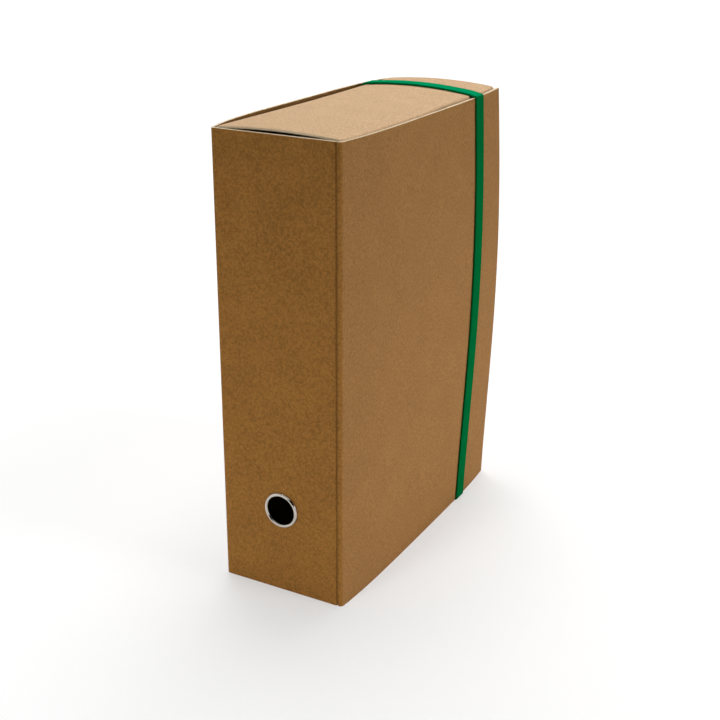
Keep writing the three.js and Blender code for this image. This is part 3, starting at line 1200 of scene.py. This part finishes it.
@dataclass
class Ring:
    """The finger ring on the spine, turned over the washer behind it."""

    shape: BoxShape
    metal: bpy.types.Material
    bore: float = 10.7 * MM
    rim: float = 13.5 * MM
    crest: float = 11.9 * MM
    rim_height: float = 1.8 * MM
    rim_steps: int = 24
    wall: float = 0.6 * MM
    clinch: float = 1.6 * MM
    clinch_steps: int = 12
    washer: float = 0.8 * MM
    facets: int = 160
    sharp: float = 40.0

    def profile(self) -> np.ndarray:
        """Section of the ring, from the rim round to the rim again.

        Returns:
            Radius and depth of each point.
        """
        seat = self.shape.seat
        back = self.shape.board + 2 * seat + self.washer
        section = []
        for angle in fold_angles(0, 180, self.rim_steps):
            half = self.rim - self.crest if angle < math.pi / 2 else self.crest - self.bore
            section.append((self.crest + half * math.cos(angle),
                            -seat - self.rim_height * math.sin(angle)))
        half = self.clinch / 2 + self.wall
        middle = self.bore + half
        for angle in fold_angles(0, 180, self.clinch_steps):
            section.append((middle - half * math.cos(angle), back + self.wall * math.sin(angle)))
        neck = self.bore + self.wall
        return np.array([*section, (neck, back), (neck, -seat)])

    def build(self) -> bpy.types.Object:
        """Revolves the section.

        Returns:
            The finished ring.
        """
        radius, depth = self.profile().T
        turns = np.linspace(0, 2 * math.pi, self.facets, endpoint=False)[:, None]
        centre = self.shape.origin + Vector((self.shape.width / 2, 0, self.shape.ring_height))
        corners = points(radius * np.cos(turns), depth, radius * np.sin(turns)).reshape(-1, 3)
        here = np.arange(self.facets * len(radius)).reshape(self.facets, len(radius))
        after, there = np.roll(here, -1, axis=1), np.roll(here, -1, axis=0)
        loop = (here, there, np.roll(there, -1, axis=1), after)
        quads = np.stack([corner.ravel() for corner in loop], axis=1)
        piece = quad_object("finger_ring_rolled", corners + np.array(centre), quads)
        shade_smooth(piece.data, self.sharp)
        piece.data.materials.append(self.metal)
        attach(piece, "box")
        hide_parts("finger_ring")
        return piece


@dataclass
class Strap:
    """The flat elastic, swept along its route round the fore edge by Geometry Nodes."""

    shape: BoxShape
    finish: bpy.types.Material
    corner: float = 0.55 * MM
    corner_steps: int = 4
    arc_steps: int = 10
    head_points: int = 60
    lid_points: int = 100
    lid_turn: float = 80.0
    sharp: float = 60.0
    slack: float = 0.02

    def behind_x(self) -> float:
        """Where the elastic hangs once slipped off: flat behind the back cover's bulge.

        Returns:
            The x that it gathers towards, in the drawing's frame.
        """
        s = self.shape
        heights = np.linspace(0.0, s.height, self.head_points)
        near = np.array([s.band_at(s.width, z) for z in heights])
        far = np.array([s.band_at(0.0, z) for z in heights]) - s.band_width / 2
        bulge = min(float(np.min(s.back_x(side, heights))) for side in (near, far))
        furthest = max(x for x, _ in self.route()) + s.band_thickness
        return (bulge - s.seat - self.slack * furthest) / (1 - self.slack)

    def arc(self, x: float, z: float, turn: tuple[float, float],
            radius: float) -> list[tuple[float, float]]:
        """Points of a bend in the route.

        Args:
            x: the bend's centre across the box.
            z: the centre's height.
            turn: first and last angle in degrees.
            radius: of the elastic's middle line.

        Returns:
            The points' x and z.
        """
        return [(x + radius * math.cos(angle), z + radius * math.sin(angle))
                for angle in fold_angles(*turn, self.arc_steps)]

    def route(self) -> list[tuple[float, float]]:
        """Middle line of the elastic, from the upper metal end to the lower one.

        Returns:
            The points' x and z.
        """
        s = self.shape
        gap = s.seat + s.band_thickness / 2
        turn = s.card_fold + gap
        lower, upper = s.clip_from_edge, s.height - s.clip_from_edge
        in_clip = s.clip_height - s.clip_wall - s.seat
        upper_x = s.clip_back_x(upper, -1) + s.clip_wall + gap
        lower_x = s.clip_back_x(lower, 1) + s.clip_wall + gap
        head_y = s.band_at(0.0, s.height)
        head_start = float(s.tray_base_x(head_y, s.height)) + s.card_fold
        foot_start = float(s.tray_base_x(s.band_at(0.0, 0.0), 0.0)) + s.card_fold
        head_stop = float(s.tray_lid_x(s.band_y[1], s.height)) - s.card_fold
        head_turn = float(s.head_z(head_start, head_y)) - s.card_fold
        head = [(x, float(s.head_z(x, s.band_at(x, s.height))) + gap)
                for x in np.linspace(head_start, head_stop, self.head_points)]
        lid_z = np.linspace(s.height, s.nick_height, self.lid_points)[1:-1]
        lid = [(float(s.lid_x(s.band_at(s.width, z), z)) + gap, z) for z in lid_z]
        lid_top = float(s.lid_x(s.band_at(s.width, s.height), s.height))
        lid_foot = float(s.lid_x(s.band_at(s.width, 0.0), 0.0))
        return [
            (upper_x, upper - in_clip),
            (upper_x, upper + s.clip_height / 2),
            *self.arc(head_start, head_turn, (180, 90), turn)[:-1],
            *head,
            *self.arc(lid_top, s.height, (self.lid_turn, 0), gap),
            *lid,
            *self.arc(lid_foot, s.nick_height, (0, -90), gap),
            *self.arc(foot_start, s.nick_height - gap + turn, (270, 180), turn),
            (lower_x, lower - s.clip_height / 2),
            (lower_x, lower + in_clip),
        ]

    def curve(self) -> bpy.types.Object:
        """Puts the route into a poly curve in the row frame.

        Returns:
            The curve.
        """
        s = self.shape
        route = self.route()
        data = bpy.data.curves.new("strap_route", "CURVE")
        data.dimensions = "3D"
        spline = data.splines.new("POLY")
        spline.points.add(len(route) - 1)
        for point, (x, z) in zip(spline.points, route):
            point.co = (*(s.origin + Vector((x, s.band_at(x, z), z))), 1.0)
        return place_object("strap_route", data)

    def tree(self) -> bpy.types.NodeTree:
        """Builds the sweep: a rounded flat section along the route, with its lengths stored.

        Returns:
            The geometry node group.
        """
        group = bpy.data.node_groups.new("sweep_elastic", "GeometryNodeTree")
        face = group.interface
        face.new_socket("Geometry", in_out="INPUT", socket_type="NodeSocketGeometry")
        for name in ("Width", "Thickness", "Corner"):
            face.new_socket(name, in_out="INPUT", socket_type="NodeSocketFloat")
        face.new_socket("Geometry", in_out="OUTPUT", socket_type="NodeSocketGeometry")
        nodes = Nodes(group)
        source, result = nodes.add("NodeGroupInput"), nodes.add("NodeGroupOutput")

        cross = nodes.add("ShaderNodeVectorMath", operation="CROSS_PRODUCT")
        cross.inputs[1].default_value = (0.0, 1.0, 0.0)
        nodes.link(nodes.add("GeometryNodeInputTangent").outputs[0], cross.inputs[0])
        normal = nodes.add("GeometryNodeSetCurveNormal", mode="FREE")
        nodes.link(source.outputs["Geometry"], normal.inputs["Curve"])
        nodes.link(cross.outputs["Vector"], normal.inputs["Normal"])
        length = nodes.add("GeometryNodeSplineParameter").outputs["Length"]
        along = self.store(nodes, normal.outputs["Curve"], "along", length)

        section = nodes.add("GeometryNodeCurvePrimitiveQuadrilateral")
        nodes.link(source.outputs["Width"], section.inputs["Height"])
        nodes.link(source.outputs["Thickness"], section.inputs["Width"])
        fillet = nodes.add("GeometryNodeFilletCurve", mode="POLY")
        fillet.inputs["Count"].default_value = self.corner_steps
        nodes.link(source.outputs["Corner"], fillet.inputs["Radius"])
        nodes.link(section.outputs["Curve"], fillet.inputs["Curve"])
        side = nodes.part(nodes.add("GeometryNodeInputPosition").outputs[0], "Y")
        across = self.store(nodes, fillet.outputs["Curve"], "across", side)

        sweep = nodes.add("GeometryNodeCurveToMesh")
        sweep.inputs["Fill Caps"].default_value = True
        nodes.link(along, sweep.inputs["Curve"])
        nodes.link(across, sweep.inputs["Profile Curve"])
        realize = nodes.add("GeometryNodeRealizeInstances")
        nodes.link(sweep.outputs["Mesh"], realize.inputs["Geometry"])
        paint = nodes.add("GeometryNodeSetMaterial")
        paint.inputs["Material"].default_value = self.finish
        nodes.link(realize.outputs["Geometry"], paint.inputs["Geometry"])
        nodes.link(paint.outputs["Geometry"], result.inputs["Geometry"])
        return group

    @staticmethod
    def store(nodes: Nodes, curve: Socket, name: str, value: Socket) -> Socket:
        """Stores a number on a curve's points.

        Args:
            nodes: the geometry nodes.
            curve: the curve's socket.
            name: the attribute's name.
            value: the number's socket.

        Returns:
            The curve with its attribute.
        """
        node = nodes.add("GeometryNodeStoreNamedAttribute", data_type="FLOAT", domain="POINT")
        node.inputs["Name"].default_value = name
        nodes.link(curve, node.inputs["Geometry"])
        nodes.link(value, node.inputs["Value"])
        return node.outputs["Geometry"]

    def build(self) -> bpy.types.Object:
        """Sweeps the elastic and puts it on the box.

        Returns:
            The finished elastic.
        """
        s = self.shape
        carrier = self.curve()
        modifier = carrier.modifiers.new("sweep", "NODES")
        modifier.node_group = self.tree()
        sizes = {"Width": s.band_width, "Thickness": s.band_thickness, "Corner": self.corner}
        for item in modifier.node_group.interface.items_tree:
            if item.in_out == "INPUT" and item.name in sizes:
                modifier[item.identifier] = sizes[item.name]
        mesh = settled_mesh(carrier)
        bpy.data.objects.remove(carrier, do_unlink=True)
        piece = place_object("elastic_strap", mesh)
        shade_smooth(mesh, self.sharp)
        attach(piece, "box")
        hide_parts("elastic_band")
        anchor = s.origin + Vector((self.behind_x(), 0, 0))
        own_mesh(piece)
        return piece


@dataclass(frozen=True)
class Lamp:
    """A square soft lamp that faces the box's middle line."""

    name: str
    place: tuple[float, float, float]
    aim: float
    size: float
    power: float
    spread: float = 180.0
    mirrored: bool = False

    def hang(self) -> None:
        """Puts the lamp up; only a mirrored one shows in the metal."""
        data = bpy.data.lights.new(self.name, "AREA")
        data.shape = "SQUARE"
        data.size = self.size
        data.energy = self.power
        data.spread = math.radians(self.spread)
        lamp = place_object(self.name, data)
        lamp.visible_glossy = self.mirrored
        lamp.location = self.place
        sight = Vector((0, 0, self.aim)) - Vector(self.place)
        lamp.rotation_euler = sight.to_track_quat("-Z", "Y").to_euler()


@dataclass
class Studio:
    """White floor, soft lamps and the camera of the photograph."""

    shape: BoxShape
    azimuth: float = 28.54
    elevation: float = 21.44
    roll: float = 0.33
    eye: tuple[float, float, float] = (459.7 * MM, -640.7 * MM, 476.9 * MM)
    focal_pixels: float = 1215.0
    frame_pixels: float = 720.0
    sensor: float = 36.0
    nearest: float = 10 * MM
    floor_size: float = 12.0
    floor_grey: float = 0.9
    fade: tuple[float, float] = (0.25, 0.6)
    white: float = 1.1
    near_white: float = 0.4
    room: float = 0.15
    ceiling: float = 0.4
    ceiling_rise: tuple[float, float] = (0.3, 0.8)
    strip_across: tuple[float, float, float] = (0.65, 0.04, -0.757)
    strip_sides: tuple[float, float] = (0.26, 0.3)
    strip_along: tuple[float, float, float] = (0.757, 0.0, 0.65)
    strip_end: tuple[float, float] = (-0.1, 0.05)
    lamps: tuple[Lamp, ...] = (
        Lamp("top_box", (-0.25, 0.55, 1.9), 0.16, 1.3, 35.0, mirrored=True),
        Lamp("lid_side", (2.0, 0.2, 0.6), 0.03, 0.8, 1.4, spread=34.0),
        Lamp("spine_side", (-0.5, -2.0, 0.5), -0.07, 0.8, 0.97, spread=24.0),
    )

    def camera(self) -> None:
        """Places the camera where the fit of the photograph's corners puts it."""
        a, e, r = (math.radians(v) for v in (self.azimuth, self.elevation, self.roll))
        back = Vector((math.sin(a) * math.cos(e), -math.cos(a) * math.cos(e), math.sin(e)))
        level = Vector((math.cos(a), math.sin(a), 0))
        upright = back.cross(level)
        right = math.cos(r) * level + math.sin(r) * upright
        up = -math.sin(r) * level + math.cos(r) * upright
        turned = Matrix((right, up, back)).transposed().to_4x4()
        data = bpy.data.cameras.new("camera")
        data.sensor_width = self.sensor
        data.sensor_fit = "HORIZONTAL"
        data.lens = self.sensor * self.focal_pixels / self.frame_pixels
        data.clip_start = self.nearest
        camera = place_object("camera", data)
        camera.matrix_world = Matrix.Translation(self.shape.origin + Vector(self.eye)) @ turned
        bpy.context.scene.camera = camera

    def floor(self) -> None:
        """Lays a pale floor that keeps the shadow near the box and fades to plain white."""
        half = self.floor_size / 2
        corners = np.array([(-half, -half, 0), (half, -half, 0), (half, half, 0), (-half, half, 0)])
        floor = quad_object("floor", corners, np.array([(0, 1, 2, 3)]))
        tree = Surface("floor_white")
        tree.shader.inputs["Base Color"].default_value = (*grey(self.floor_grey), 1.0)
        tree.matt(1.0, 0.0)
        distance = tree.add("ShaderNodeVectorMath", operation="LENGTH")
        tree.link(tree.coordinate("Object"), distance.inputs[0])
        fade = tree.span(distance.outputs["Value"], self.fade, (self.near_white, 1.0), "SMOOTHSTEP")
        seen = tree.add("ShaderNodeLightPath").outputs["Is Camera Ray"]
        white = tree.add("ShaderNodeEmission")
        white.inputs["Strength"].default_value = self.white
        mix = tree.add("ShaderNodeMixShader")
        tree.link(tree.math("MULTIPLY", fade, seen), mix.inputs[0])
        tree.link(tree.shader.outputs[0], mix.inputs[1])
        tree.link(white.outputs[0], mix.inputs[2])
        tree.link(mix.outputs[0], tree.output.inputs["Surface"])
        floor.data.materials.append(tree.material)

    def light(self) -> None:
        """Hangs the lamps in a white room.

        The room is dim for the matt pieces and plain white for the camera. The metal mirrors
        it with a darker ceiling and a dark strip, which shows on the ring's upper right.
        """
        for lamp in self.lamps:
            lamp.hang()
        world = bpy.data.worlds.new("white_room")
        bpy.context.scene.world = world
        world.use_nodes = True
        tree = Nodes(world.node_tree)
        way = tree.coordinate("Generated")
        overhead = tree.span(tree.part(way, "Z"), self.ceiling_rise, (1.0, self.ceiling))
        beside = tree.math("ABSOLUTE", tree.dot(way, self.strip_across))
        beside = tree.span(beside, self.strip_sides, (0.0, 1.0))
        before = tree.span(tree.dot(way, self.strip_along), self.strip_end, (1.0, 0.0))
        mirrored = tree.math("MULTIPLY", overhead, tree.math("MAXIMUM", beside, before))
        rays = tree.add("ShaderNodeLightPath")
        mix = tree.add("ShaderNodeMix")
        tree.link(rays.outputs["Is Glossy Ray"], mix.inputs[0])
        mix.inputs[2].default_value = self.room
        tree.link(mirrored, mix.inputs[3])
        strength = tree.math("MAXIMUM", mix.outputs[0], rays.outputs["Is Camera Ray"])
        background = world.node_tree.nodes["Background"]
        background.inputs["Color"].default_value = (*WHITE, 1.0)
        tree.link(strength, background.inputs["Strength"])
        bpy.context.scene.view_settings.view_transform = "Standard"


def main() -> None:
    """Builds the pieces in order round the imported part."""
    logging.basicConfig(level=logging.INFO, format="%(name)s: %(message)s")
    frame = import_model()
    shape = BoxShape()
    shape.place()

    studio = Studio(shape)
    studio.camera()
    studio.floor()
    studio.light()

    # Painted light: the second colour, for the covers, is lighter and paler than the spine's, for
    # light and sheen.
    board = KraftFinish("kraft_board", (0.262, 0.118, 0.026), (0.3, 0.15, 0.05))
    # The score's material adds a painted shade line along its groove.
    score = replace(board, name="kraft_score", groove_shade_x=shape.origin.x + shape.score_x)
    inside = KraftFinish("kraft_inside", (0.2, 0.1, 0.03), (0.2, 0.1, 0.03))
    card = KraftFinish("kraft_tray", (0.512, 0.342, 0.2), (0.512, 0.342, 0.2),
                       contrast=0.16, bump=0.1)
    cut_edge = CutEdgeFinish().build()
    nickel = NickelFinish().build()

    wrap = Wrap(shape, board.build(), score.build(), inside.build(), cut_edge)
    tray = Tray(shape, card.build(), cut_edge)
    ring = Ring(shape, nickel)
    strap = Strap(shape, ElasticFinish().build())
    for make in (wrap.back_and_spine, wrap.lid, wrap.crease, tray.shell, tray.fore_edge, tray.tab,
                 ring.build, strap.build):
        piece = make()
        log.info("built %s with %d faces", piece.name, len(piece.data.polygons))
    for name in ("ring_washer", "elastic_clip_head", "elastic_clip_foot"):
        mesh = frame["nodes"][name].data
        mesh.materials.clear()
        mesh.materials.append(nickel)
        log.info("dressed %s", name)


if __name__ == "__main__":
    main()
